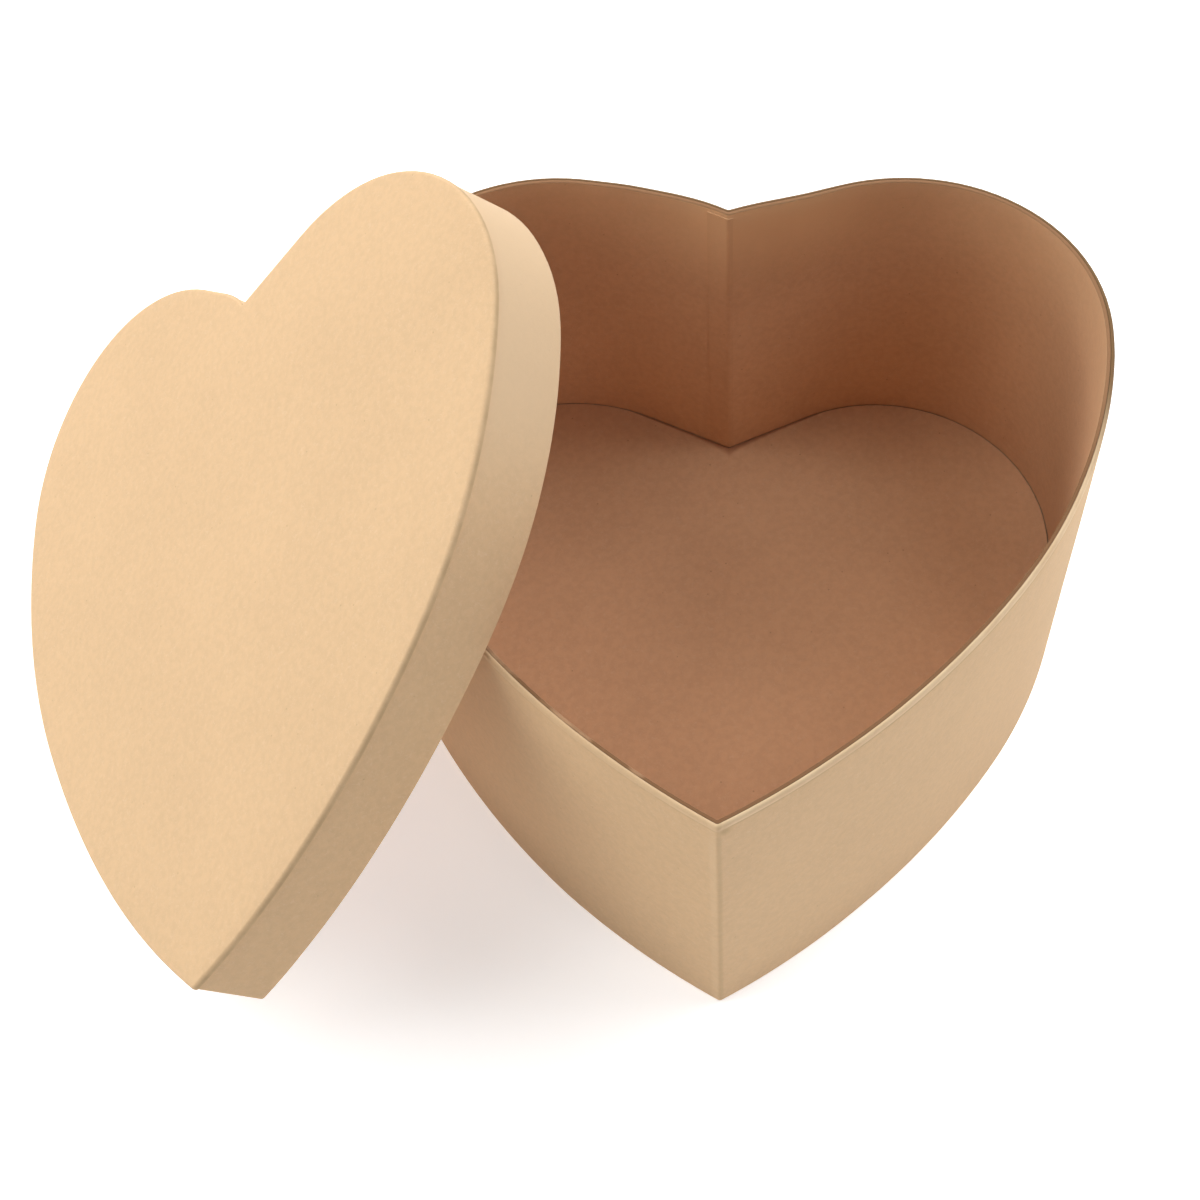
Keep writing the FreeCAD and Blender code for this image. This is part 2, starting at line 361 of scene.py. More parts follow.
def marksGroup():  # painted light and shade on a sheet, a turned edge, a crease and the tip
    group, take, give = newGroup(
        "paintedLightMarks",
        (("Where", "Vector"), ("Flat", "Vector"), ("Colour", "Color"), ("Edge", "Color"),
         ("Back Edge", "Color"), ("Dark", "Color"), ("Painted Light Near Rim", "Color"),
         ("Edge Start", "Float"), ("Edge Width", "Float"), ("Edge Amount", "Float"), ("At Back", "Float"),
         ("Crease At", "Float"), ("Crease Width", "Float"), ("Crease Amount", "Float"),
         ("Crease Back", "Float"), ("Tip Amount", "Float"), ("Painted Light And Shade", "Float")),
        (("Colour", "Color"),),
    )
    look = marksLook
    where = inMillimetres(group, take["Where"])
    across, along, down = addNode(group, "SeparateXYZ", {0: inMillimetres(group, take["Flat"])}).outputs[0:3]
    down = calc(group, "ABSOLUTE", down)
    patches = cloudy(group, where, look["patchScale"], look["patchDetail"], look["patchLeast"], 1.0)
    onSide = ramp(group, across, look["sideStart"], look["sideEnd"], look["sideLeast"], 1.0)
    toBack = ramp(group, along, look["backStart"], look["backEnd"], 0.0, 1.0)
    onFront = times(group, onSide, calc(group, "SUBTRACT", 1.0, toBack))

    offPaintedLight = distanceTo(group, across, look["paintedLightMiddle"])  # painted light near the back rim
    paintedLightNearRim = ramp(group, offPaintedLight, look["paintedLightCore"], look["paintedLightReach"], 1.0, look["paintedLightLeast"])
    paintedLightNearRim = times(group, times(group, paintedLightNearRim, toBack),
                  ramp(group, down, 0.0, look["paintedLightDepth"], take["Painted Light And Shade"], 0.0))
    colour = tint(group, paintedLightNearRim, take["Colour"], take["Painted Light Near Rim"])
    # painted shade on the inner wall at the widest places
    offMiddle = calc(group, "ABSOLUTE", across)
    shadedSides = ramp(group, offMiddle, look["sideShadeStart"], look["sideShadeEnd"], 0.0, look["sideShade"])
    colour = tint(group, times(group, shadedSides, take["Painted Light And Shade"]), colour, take["Dark"])

    inEdge = calc(group, "DIVIDE", down, take["Edge Width"])  # painted highlight and shade along the edge, in front and at the back
    inEdge = ramp(group, inEdge, take["Edge Start"], 1.0, 1.0, 0.0)
    paintedEdge = times(group, times(group, onFront, patches), take["Edge Amount"])
    paintedEdge = plus(group, paintedEdge, times(group, toBack, take["At Back"]))
    paintedEdge = calc(group, "MULTIPLY", paintedEdge, inEdge, True)
    colour = tint(group, paintedEdge, colour, tint(group, toBack, take["Edge"], take["Back Edge"]))

    # painted shade in the crease below the rim, and under the fold of the lid's top
    offCrease = distanceTo(group, down, take["Crease At"])
    inCrease = ramp(group, offCrease, look["creaseCore"], take["Crease Width"], 1.0, 0.0)
    onCrease = calc(group, "MAXIMUM", onFront, take["Crease Back"])
    dark = times(group, times(group, times(group, inCrease, patches), onCrease), take["Crease Amount"])

    # painted highlight and shade at the tip's fold
    nearTip = ramp(group, along, look["tipStart"], look["tipEnd"], 1.0, 0.0)
    nearTip = times(group, nearTip, ramp(group, down, *look["rimless"], 1.0, 0.0))
    nearTip = times(group, nearTip, take["Tip Amount"])
    band = ramp(group, distanceTo(group, across, look["bandAt"]), look["bandCore"], look["bandEnd"], 1.0, 0.0)
    band = times(group, band, times(group, nearTip, patches))
    colour = tint(group, times(group, band, look["band"]), colour, take["Edge"])
    offLine = distanceTo(group, across, look["lineAt"])
    line = ramp(group, offLine, look["lineCore"], look["lineEnd"], look["line"], 0.0)
    pinchX = calc(group, "DIVIDE", across, look["pinchAcross"])
    pinchY = calc(group, "DIVIDE", down, look["pinchDown"])
    pinchAt = addNode(group, "CombineXYZ", {"X": pinchX, "Y": pinchY}).outputs[0]
    toPinch = addNode(group, "VectorMath", {0: pinchAt, 1: look["pinchAt"]}, operation="DISTANCE")
    pinch = ramp(group, toPinch.outputs["Value"], 0.0, look["pinchEnd"], look["pinch"], 0.0)
    line = calc(group, "MAXIMUM", line, pinch)
    dark = calc(group, "MAXIMUM", dark, times(group, line, nearTip))
    group.links.new(tint(group, dark, colour, take["Dark"]), give["Colour"])
    return group


pressedPulp = pulpGroup()
paintedLightMarks = marksGroup()
print("shader groups made")


def newMaterial(name, roughness, specular):
    material = bpy.data.materials.new(name)
    material.use_nodes = True
    shader = material.node_tree.nodes["Principled BSDF"]
    shader.inputs["Roughness"].default_value = roughness
    shader.inputs["Specular IOR Level"].default_value = specular
    return material, material.node_tree, shader


pulpSockets = {  # a group's socket, and the look's value for it
    "Sheet": "sheet", "Fibre": "fibre", "Speck": "speck",
    "Mottle": "mottle", "Fibres": "fibres", "Specks": "specks",
}
marksSockets = {
    "Edge": "edge", "Back Edge": "backEdge", "Dark": "dark", "Painted Light Near Rim": "paintedLightNearRim",
    "Edge Start": "edgeStart", "Edge Width": "edgeWidth", "Edge Amount": "edgeAmount", "At Back": "atBack",
    "Crease At": "creaseAt", "Crease Width": "creaseWidth", "Crease Amount": "crease",
    "Crease Back": "creaseBack", "Tip Amount": "tip", "Painted Light And Shade": "paintedLightAndShade",
}
roughSpread = (-0.08, 0.05)  # the hollows are a little smoother than the fibres


def placeGroup(tree, group, sockets, look, feeds):
    node = addNode(tree, "Group", node_tree=group)
    for socket, value in sockets.items():
        node.inputs[socket].default_value = look[value]
    for socket, source in feeds.items():
        tree.links.new(source, node.inputs[socket])
    return node.outputs


def sheetFinish(look):  # one finish of paper or board
    material, tree, shader = newMaterial(look["name"], look["roughness"], look["specular"])
    where = addNode(tree, "TexCoord").outputs["Object"]
    flat = addNode(tree, "Attribute", attribute_name="flat").outputs["Vector"]
    pulp = placeGroup(tree, pressedPulp, pulpSockets, look, {"Where": where})
    marksFeeds = {"Where": where, "Flat": flat, "Colour": pulp["Colour"]}
    marks = placeGroup(tree, paintedLightMarks, marksSockets, look, marksFeeds)
    tree.links.new(marks["Colour"], shader.inputs["Base Color"])
    smoothest, roughest = (look["roughness"] + change for change in roughSpread)
    rough = ramp(tree, pulp["Height"], 0.0, 1.0, smoothest, roughest)
    tree.links.new(rough, shader.inputs["Roughness"])
    bumpFeeds = {"Strength": look["bump"], "Distance": look["tooth"], "Height": pulp["Height"]}
    bump = addNode(tree, "Bump", bumpFeeds)
    tree.links.new(bump.outputs["Normal"], shader.inputs["Normal"])
    return material


def floorFinish():
    material, tree, shader = newMaterial("paleFloor", studio["floorRoughness"], studio["floorSpecular"])
    where = addNode(tree, "TexCoord").outputs["Object"]
    tone = cloudy(tree, where, studio["cloudScale"], studio["cloudDetail"], 0.0, studio["cloudAmount"])
    colour = tint(tree, tone, studio["floorColour"], studio["floorCloud"])
    tree.links.new(colour, shader.inputs["Base Color"])
    shader.inputs["Emission Color"].default_value = studio["glowColour"]
    shader.inputs["Emission Strength"].default_value = studio["floorGlow"]
    return material


paleKraft = {
    "name": "paleKraft", "slot": "pale_kraft_paper",
    "sheet": (0.658, 0.442, 0.25, 1), "fibre": (0.73, 0.53, 0.335, 1), "speck": (0.38, 0.24, 0.13, 1),
    "mottle": 0.045, "fibres": 0.45, "specks": 0.4,
    "edge": (0.76, 0.56, 0.35, 1), "edgeAmount": 0.9,  # painted highlight in front, in patches
    "backEdge": (0.2, 0.11, 0.045, 1), "atBack": 1.0,  # painted shade at the back
    "edgeStart": 0.8, "edgeWidth": 1.5, "creaseAt": 1.55, "creaseWidth": 0.5,  # in millimetres from the rim
    # the colour of the painted shade in the crease and at the tip
    "dark": (0.33, 0.22, 0.10, 1), "crease": 0.5, "creaseBack": 0.0, "tip": 1.0,
    "paintedLightNearRim": (0.8, 0.6, 0.4, 1), "paintedLightAndShade": 0.0,
    "roughness": 0.88, "specular": 0.3, "bump": 0.35, "tooth": 0.06 * mm,
}
brownKraft = {
    "name": "brownKraft", "slot": "brown_kraft_paper",
    "sheet": (0.61, 0.358, 0.203, 1), "fibre": (0.66, 0.43, 0.27, 1), "speck": (0.25, 0.14, 0.07, 1),
    "mottle": 0.055, "fibres": 0.45, "specks": 0.45,
    # painted shade along the turned edge in front
    "edge": (0.2, 0.1, 0.045, 1), "edgeAmount": 3.5,
    "backEdge": (0.28, 0.145, 0.07, 1), "atBack": 1.0,  # painted shade along its edges at the back
    "edgeStart": 0.0, "edgeWidth": 0.35, "creaseAt": 3.0, "creaseWidth": 0.5,
    "dark": (0.2, 0.1, 0.05, 1), "crease": 0.0, "creaseBack": 0.0, "tip": 0.0,
    "paintedLightNearRim": (0.87, 0.56, 0.31, 1), "paintedLightAndShade": 0.0,
    "roughness": 0.9, "specular": 0.25, "bump": 0.4, "tooth": 0.06 * mm,
}
greyBoard = {
    "name": "greyBoard", "slot": "kraft_board",
    "sheet": (0.42, 0.32, 0.21, 1), "fibre": (0.52, 0.43, 0.32, 1), "speck": (0.2, 0.14, 0.09, 1),
    "mottle": 0.08, "fibres": 0.5, "specks": 0.5,
    "edge": (0.5, 0.41, 0.3, 1), "edgeAmount": 0.0,
    "backEdge": (0.5, 0.41, 0.3, 1), "atBack": 0.0,
    "edgeStart": 0.5, "edgeWidth": 1.0, "creaseAt": 3.0, "creaseWidth": 0.5,
    "dark": (0.2, 0.14, 0.09, 1), "crease": 0.0, "creaseBack": 0.0, "tip": 0.0,
    "paintedLightNearRim": (0.87, 0.56, 0.31, 1), "paintedLightAndShade": 0.0,
    "roughness": 0.93, "specular": 0.2, "bump": 0.5, "tooth": 0.1 * mm,
}
lidKraft = dict(paleKraft, name="lidKraft", crease=0.0, tip=0.0, edgeAmount=0.0,
                backEdge=(0.69, 0.495, 0.307, 1), atBack=0.75,  # painted light, paler towards the lobes
                edgeStart=0.9, edgeWidth=30.0)
lipKraft = dict(lidKraft, name="lipKraft", sheet=(0.658, 0.447, 0.256, 1), atBack=0.0,
                creaseAt=1.1, creaseWidth=0.75, crease=0.5, creaseBack=1.0)  # painted shade under the fold
# painted shade in the gap between the floor and the wall, widest at the cleft
floorKraft = dict(brownKraft, name="floorKraft", backEdge=(0.3, 0.12, 0.055, 1), atBack=0.85)
wallKraft = dict(brownKraft, name="wallKraft", paintedLightAndShade=1.0)  # painted light towards the rim, and painted shade at the widest places
# painted light towards the rim, a little weaker
stayKraft = dict(brownKraft, name="stayKraft", paintedLightAndShade=0.8,
                 sheet=(0.589, 0.343, 0.193, 1), fibre=(0.64, 0.41, 0.255, 1))
looks = (paleKraft, lidKraft, lipKraft, brownKraft, floorKraft, wallKraft, stayKraft, greyBoard)
finishes = {look["name"]: sheetFinish(look) for look in looks}
print("finishes made", len(finishes))


# Drawing outlines and joining them into sheets
def startPiece(name):
    bpy.ops.object.select_all(action="DESELECT")
    bpy.ops.mesh.primitive_plane_add(size=mm)
    piece = bpy.context.object
    piece.name = name
    piece.data.name = name
    bpy.ops.object.mode_set(mode="EDIT")
    bpy.ops.mesh.select_mode(type="VERT")
    bpy.ops.mesh.select_all(action="SELECT")
    bpy.ops.mesh.delete(type="VERT")
    return piece


def startPoint(at):
    bpy.ops.mesh.select_all(action="DESELECT")
    bpy.ops.mesh.primitive_plane_add(size=mm, location=at)
    bpy.ops.mesh.merge(type="CENTER")


def runLine(run, steps):
    for step in range(steps):
        bpy.ops.mesh.extrude_vertices_move(TRANSFORM_OT_translate={"value": run / steps})


def runArc(centre, turn, steps, hollow=False):  # clockwise, or the other way in a hollow corner
    bpy.ops.mesh.spin(steps=steps, angle=turn, center=centre, axis=(0, 0, -1 if hollow else 1))


def cleftOf(spread):  # where an outline's lobe starts, and where its two flanks meet
    slope = heart["cleftSlope"]
    lobeStart = lobeAt + bearing(-slope, lobeRadius + spread)
    return lobeStart, lobeStart.y - lobeStart.x * math.tan(slope)


def drawHeart(spread, level, tipFold, cleftFold):
    slope = heart["cleftSlope"]
    lift = Vector((0, 0, level))
    lobeStart, apex = cleftOf(spread)
    cleftAt = Vector((0, apex + cleftFold / math.cos(slope), level))
    flank = lobeStart + lift - cleftAt - bearing(math.pi - slope, cleftFold)
    inside = sideRadius + spread - tipFold
    tipAt = Vector((0, sideAt.y - math.sqrt(inside ** 2 - sideAt.x ** 2), level))
    tipBearing = math.pi - math.asin(-sideAt.x / inside)
    arcs = ((lobeAt + lift, slope + square, "lobeSteps"),
            (shoulderAt + lift, heart["shoulderEnd"] - square, "shoulderSteps"),
            (sideAt + lift, tipBearing - heart["shoulderEnd"], "sideSteps"))
    startPoint(cleftAt - Vector((0, cleftFold, 0)))
    runArc(cleftAt, slope, heart["cleftSteps"], hollow=True)
    runLine(flank, heart["flankSteps"])
    for centre, turn, steps in arcs:
        runArc(centre, turn, heart[steps])
    runArc(tipAt, 2 * (math.pi - tipBearing), heart["tipSteps"])
    for centre, turn, steps in reversed(arcs):
        runArc(mirrored(centre), turn, heart[steps])
    runLine(Vector((flank.x, -flank.y, 0)), heart["flankSteps"])
    runArc(cleftAt, slope, heart["cleftSteps"], hollow=True)
    bpy.ops.mesh.select_all(action="SELECT")
    bpy.ops.mesh.remove_doubles(threshold=tiny)


def spot(vertex):  # a vertex by its place, in whole tiny steps
    return tuple(round(value / tiny) for value in vertex.co)


def drawRings(piece, rings, look):  # one outline after another, each kept as a set of spots
    drawn = []
    for spread, level in rings:
        drawHeart(spread, level, look["tipFold"], look["cleftFold"])
        mesh = bmesh.from_edit_mesh(piece.data)
        drawn.append({spot(vertex) for vertex in mesh.verts}.difference(*drawn))
    return drawn


def choose(piece, test):  # selects the vertices that pass
    mesh = bmesh.from_edit_mesh(piece.data)
    for vertex in mesh.verts:
        vertex.select_set(test(vertex))
    mesh.select_flush_mode()
    bmesh.update_edit_mesh(piece.data)


def chooseSpots(piece, spots):
    choose(piece, lambda vertex: spot(vertex) in spots)


def chosenSpots(piece):
    return {spot(vertex) for vertex in bmesh.from_edit_mesh(piece.data).verts if vertex.select}


def bridgeRings(piece, drawn, cuts):
    pull = 1.0  # a pair with no cuts between is pulled far apart while it is bridged
    for index, cut in enumerate(cuts):
        after = (index + 1) % len(drawn)
        if cut:
            chooseSpots(piece, drawn[index] | drawn[after])
            bpy.ops.mesh.bridge_edge_loops(number_cuts=cut, interpolation="LINEAR")
        else:
            chooseSpots(piece, drawn[after])
            bpy.ops.transform.translate(value=(0, 0, pull))
            choose(piece, lambda vertex: vertex.co.z > pull / 2 or spot(vertex) in drawn[index])
            bpy.ops.mesh.bridge_edge_loops()
            choose(piece, lambda vertex: vertex.co.z > pull / 2)
            bpy.ops.transform.translate(value=(0, 0, -pull))
            drawn[after] = chosenSpots(piece)


panelSteps = (12.0 * mm, 26.0 * mm)  # rings inside a flat panel, to keep its faces short


def flatRings(edge, start, level):
    return [(edge, level)] + [(start - step, level) for step in panelSteps]


def drawPanel(piece, rings, look):  # rings from the edge inwards, the last one filled
    drawn = drawRings(piece, rings, look)
    bridgeRings(piece, drawn, (0,) * (len(rings) - 1))
    chooseSpots(piece, drawn[-1])
    bpy.ops.mesh.edge_face_add()
    return drawn


def roundFolds(piece, spots, radius, segments=4):
    chooseSpots(piece, spots)
    bpy.ops.mesh.bevel(offset=radius, segments=segments, affect="EDGES")


def faceOut(piece, wanted):  # turns the sheet so that wanted(centre) is the way it faces
    bpy.ops.mesh.select_all(action="SELECT")
    bpy.ops.mesh.normals_make_consistent(inside=False)
    mesh = bmesh.from_edit_mesh(piece.data)
    way = sum(face.normal.dot(wanted(face.calc_center_median())) * face.calc_area() for face in mesh.faces)
    if way < 0:
        bpy.ops.mesh.flip_normals()


def thicken(piece, thickness):
    bpy.ops.object.mode_set(mode="OBJECT")
    stock = piece.modifiers.new("stock", "SOLIDIFY")
    stock.thickness = thickness
    stock.offset = -1.0
    stock.use_even_offset = True
    stock.use_rim = True
    bpy.ops.object.modifier_apply(modifier=stock.name)


def closeBoard():  # a strip of board is drawn all round, so it needs no thickness
    bpy.ops.mesh.select_all(action="SELECT")
    bpy.ops.mesh.normals_make_consistent(inside=False)
    bpy.ops.object.mode_set(mode="OBJECT")


def away(point):
    return Vector((point.x, point.y, 0))


def inward(point):
    return Vector((-point.x, -point.y, 0))


def upward(point):
    return Vector((0, 0, 1))


def downward(point):
    return Vector((0, 0, -1))


def forward(point):
    return Vector((0, -1, 0))


noRim = 1.0  # far below any rim


def markFlat(piece, rim=None):  # each point's place before it settles, down from the rim if the piece has one
    flat = piece.data.attributes.new("flat", "FLOAT_VECTOR", "POINT")
    for vertex in piece.data.vertices:
        down = noRim if rim is None else vertex.co.z - rim
        flat.data[vertex.index].vector = (vertex.co.x, vertex.co.y, down)


handMade = {
    "cleftLift": 3.8 * mm,  # the wall springs out at the top of the cleft
    "cleftReach": 26.0 * mm,
    "cleftMiddle": -3.0 * mm,
    "flare": 0.9 * mm,  # the free rim stands a little wide at the lobes
    "flareReach": 30.0 * mm,
    "tipLean": 1.3 * mm,  # and stands in a little at the tip
    "tipReach": 60.0 * mm,
    "leanPower": 1.4,  # most of this is near the rim
    "footShift": -1.0 * mm,  # the foot sits a little to the left
    "footReach": 30.0 * mm,
    "waveLength": 42.0 * mm,
    "wave": 0.35 * mm,  # a sheet is never quite flat
    "trayWaves": (3.1, 8.7),  # where the waves across and along start
    "lidWaves": (14.3, 21.9),
    "lidWaveShare": 0.5,
    "lidCleft": Vector((0, 65.4, 0)) * mm,
    "lidCleftPull": Vector((-2.2, -1.1, 0)) * mm,  # the lid's cleft is pulled askew
    "lidCleftReach": 10.0 * mm,
    "lidTipPull": Vector((-1.0, -0.9, 0)) * mm,  # and so is its tip
    "lidTipReach": 75.0 * mm,
    "lidBow": 0.9 * mm,  # its open edge on the right bows out behind the turn and in before it
    "lidBowTurn": -15.0 * mm,
    "lidBowLength": 70.0 * mm,
    "lidBowReach": 12.0 * mm,
}


def held(value):  # between 0 and 1
    return max(0.0, min(1.0, value))


def eased(value):
    return held(value) ** 2 * (3 - 2 * held(value))


def waver(point, starts):
    across, along = (
        noise.noise(point / handMade["waveLength"] + Vector((start, -start, start))) * handMade["wave"]
        for start in starts
    )
    return Vector((across, along, 0))


def settleTray(piece):  # the free top of the wall leans and wavers a little, and the foot sits to the left
    look = handMade
    for vertex in piece.data.vertices:
        at = vertex.co.copy()
        height = held(at.z / trayTop)
        offCleft = abs(at.x - look["cleftMiddle"]) / look["cleftReach"]
        lean = look["cleftLift"] * eased(1.0 - offCleft) if at.y > 0 else 0.0
        lean += look["tipLean"] * held(-at.y / look["tipReach"])
        flare = look["flare"] * at.x / (boxWidth / 2) * held(at.y / look["flareReach"])
        vertex.co += (waver(at, look["trayWaves"]) + Vector((flare, lean, 0))) * height ** look["leanPower"]
        vertex.co.x += look["footShift"] * (1.0 - height) * held(abs(at.x) / look["footReach"])


def settleLid(piece):  # drawn flat, so the pulls and the bow are in its own plane
    look = handMade
    for vertex in piece.data.vertices:
        at = vertex.co.copy()
        near = held(1.0 - away(at - look["lidCleft"]).length / look["lidCleftReach"])
        vertex.co += waver(at, look["lidWaves"]) * look["lidWaveShare"]
        vertex.co += look["lidCleftPull"] * near ** 2
        vertex.co += look["lidTipPull"] * eased(-at.y / look["lidTipReach"])
        bow = (vertex.co.y - look["lidBowTurn"]) / look["lidBowLength"]
        if abs(bow) < 1:
            share = held(vertex.co.x / look["lidBowReach"]) * max(0.0, -at.z / lidDepth)
            vertex.co.x += look["lidBow"] * math.sin(math.pi * bow) * share


smoothAngle = math.radians(40)


def finishPiece(piece, body, node, finish, place=None):
    piece.data.materials.append(finishes[finish])
    if place is not None:
        piece.matrix_world = place
    bpy.ops.object.select_all(action="DESELECT")
    piece.select_set(True)
    bpy.context.view_layer.objects.active = piece
    bpy.ops.object.transform_apply(location=True, rotation=True, scale=True)
    bpy.ops.object.shade_smooth_by_angle(angle=smoothAngle)
    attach(piece, body)
    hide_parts(node)
    print("made", piece.name, len(piece.data.polygons))


# Tray
trayWrap = {
    "underside": 0.25 * mm, "turnUnder": 10.0 * mm, "footFold": 0.6 * mm,
    "fold": 0.75 * mm, "foldSegments": 6, "crest": 0.8 * mm,  # rounded over the rim to the lining's lip
    "creaseTop": 1.27 * mm, "crease": 1.55 * mm, "creaseFoot": 2.0 * mm,  # down from the rim
    "creaseIn": 0.1 * mm,
    "tipFold": 0.8 * mm, "cleftFold": 0.8 * mm, "rows": 17,
}


def makeTrayWrap():
    look = trayWrap
    piece = startPiece("tray_wall_wrap_paper")
    rings = ((-look["turnUnder"], look["underside"]), (0, look["underside"]),
             (0, trayTop - look["creaseFoot"]), (-look["creaseIn"], trayTop - look["crease"]),
             (0, trayTop - look["creaseTop"]), (0, trayTop), (-look["crest"], trayTop))
    drawn = drawRings(piece, rings, look)
    bridgeRings(piece, drawn, (0, look["rows"], 0, 0, 0, 0))
    roundFolds(piece, drawn[1], look["footFold"])
    roundFolds(piece, drawn[5], look["fold"], look["foldSegments"])
    faceOut(piece, away)
    thicken(piece, paper)
    markFlat(piece, trayTop)
    settleTray(piece)
    finishPiece(piece, "tray", "tray_wall_wrap", "paleKraft")


trayLining = {
    "foot": 2.3 * mm, "drop": 0.02 * mm, "crest": 0.9 * mm, "fold": 0.22 * mm,
    "tipFold": 0.5 * mm, "cleftFold": 1.2 * mm, "rows": 17,
}


def makeTrayLining():
    look = trayLining
    piece = startPiece("tray_wall_lining_paper")
    top = trayTop - look["drop"]
    drawn = drawRings(piece, ((-wall, look["foot"]), (-wall, top), (-look["crest"], top)), look)
    bridgeRings(piece, drawn, (look["rows"], 0))
    roundFolds(piece, drawn[1], look["fold"])
    faceOut(piece, inward)
    thicken(piece, paper)
    markFlat(piece, trayTop)
    settleTray(piece)
    finishPiece(piece, "tray", "tray_wall_lining", "wallKraft")


wallBoard = {
    "outerSkin": 0.36 * mm, "innerSkin": 0.25 * mm, "foot": 0.5 * mm, "drop": 0.3 * mm,
    "round": 0.8 * mm, "edgeRound": 0.15 * mm, "edgeSegments": 2,  # the outer top edge is sanded round
    "tipFold": 0.6 * mm, "cleftFold": 1.0 * mm, "rows": 17,
}


def makeWallBoard():
    look = wallBoard
    piece = startPiece("tray_wall_board_strip")
    outer, inner = -look["outerSkin"], look["innerSkin"] - wall
    top = trayTop - look["drop"]
    drawn = drawRings(piece, ((outer, look["foot"]), (outer, top), (inner, top), (inner, look["foot"])), look)
    bridgeRings(piece, drawn, (look["rows"], 0, look["rows"], 0))
    roundFolds(piece, drawn[1], look["round"])
    roundFolds(piece, drawn[0] | drawn[2] | drawn[3], look["edgeRound"], look["edgeSegments"])
    closeBoard()
    markFlat(piece)
    settleTray(piece)
    finishPiece(piece, "tray", "tray_wall_board", "greyBoard")


trayFloor = {
    "edge": 1.85 * mm, "level": 2.28 * mm, "lift": 0.15 * mm,
    "curl": ((0.0, 1.0), (1.5 * mm, 0.6), (5.0 * mm, 0.15)),  # in from the edge, and the share of the lift
    "rings": (14.0 * mm, 26.0 * mm),
    "gapShadeSpread": 36.0 * mm, "gapShadeStart": 0.13,
    "tipFold": 0.4 * mm, "cleftFold": 0.5 * mm,
}


def markGapShade(piece, look):  # painted shade in the gap along the edge on both sides of the cleft, less and less
    slope = heart["cleftSlope"]
    apex = cleftOf(-look["edge"])[1]
    for vertex, flat in zip(piece.data.vertices, piece.data.attributes["flat"].data):
        reach = (apex + abs(vertex.co.x) * math.tan(slope) - vertex.co.y) * math.cos(slope)
        flat.vector.z = reach * (look["gapShadeStart"] + abs(vertex.co.x) / look["gapShadeSpread"])


def makeTrayFloor():
    look = trayFloor
    piece = startPiece("tray_floor_paper")
    rings = [(-look["edge"] - step, look["level"] + look["lift"] * share) for step, share in look["curl"]]
    rings += [(-step, look["level"]) for step in look["rings"]]
    drawPanel(piece, rings, look)
    faceOut(piece, upward)
    thicken(piece, paper)
    markFlat(piece)
    markGapShade(piece, look)
    settleTray(piece)
    finishPiece(piece, "tray", "tray_floor_lining", "floorKraft")


trayUnderside = {"edge": 2.0 * mm, "tipFold": 0.6 * mm, "cleftFold": 0.6 * mm}


def makeTrayUnderside():
    look = trayUnderside
    piece = startPiece("tray_underside_paper")
    drawPanel(piece, flatRings(-look["edge"], 0, 0), look)
    faceOut(piece, downward)
    thicken(piece, paper)
    markFlat(piece)
    settleTray(piece)
    finishPiece(piece, "tray", "tray_base_cover", "paleKraft")


trayBase = {"edge": 1.45 * mm, "tipFold": 0.4 * mm, "cleftFold": 0.5 * mm}


def makeTrayBase():
    look = trayBase
    low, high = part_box("tray_base_board")
    piece = startPiece("tray_base_board_panel")
    drawPanel(piece, flatRings(-look["edge"], 0, high.z), look)
    faceOut(piece, upward)
    thicken(piece, high.z - low.z)
    markFlat(piece)
    settleTray(piece)
    finishPiece(piece, "tray", "tray_base_board", "greyBoard")


trayStay = {
    "left": 4.2 * mm, "right": 0.5 * mm, "leftSteps": 4, "rightSteps": 3,  # how far it shows beside the fold
    "foot": 2.6 * mm, "drop": 1.2 * mm, "rows": 14,
    "fold": 1.2 * mm, "stock": 0.15 * mm, "gap": 0.02 * mm,
}


def drawCleft(look, spread, level):
    slope = heart["cleftSlope"]
    fold = look["fold"]
    cleftAt = Vector((0, cleftOf(spread)[1] + fold / math.cos(slope), level))
    flank = Vector((math.cos(slope), math.sin(slope), 0))
    startPoint(cleftAt + bearing(math.pi + slope, fold) + mirrored(flank) * look["left"])
    runLine(mirrored(flank) * -look["left"], look["leftSteps"])
    runArc(cleftAt, 2 * slope, 2 * heart["cleftSteps"], hollow=True)
    runLine(flank * look["right"], look["rightSteps"])


def drawStay(piece, look, inner, low, high):  # a strip folded into the cleft over a lining
    drawCleft(look, inner - look["stock"] - look["gap"], low)
    bpy.ops.mesh.select_all(action="SELECT")
    rowRise = (0, 0, (high - low) / look["rows"])
    for row in range(look["rows"]):
        bpy.ops.mesh.extrude_region_move(TRANSFORM_OT_translate={"value": rowRise})
    faceOut(piece, forward)
    thicken(piece, look["stock"])


def makeTrayStay():
    look = trayStay
    piece = startPiece("tray_cleft_stay_paper")
    drawStay(piece, look, -wall, look["foot"], trayTop - look["drop"])
    markFlat(piece, trayTop)
    settleTray(piece)
    finishPiece(piece, "tray", "tray_cleft_stay", "stayKraft")


# Lid, drawn flat with its top face at 0 and then laid where it leans
lidCover = {
    "proud": 0.2 * mm, "lip": 1.15 * mm, "fold": 0.8 * mm, "foldSegments": 5,
    "crown": 0.3 * mm, "rise": ((4.0 * mm, 0.35), (12.0 * mm, 0.8), (28.0 * mm, 1.0)),  # in from the edge
    "tipFold": 1.2 * mm, "cleftFold": 0.9 * mm,
}


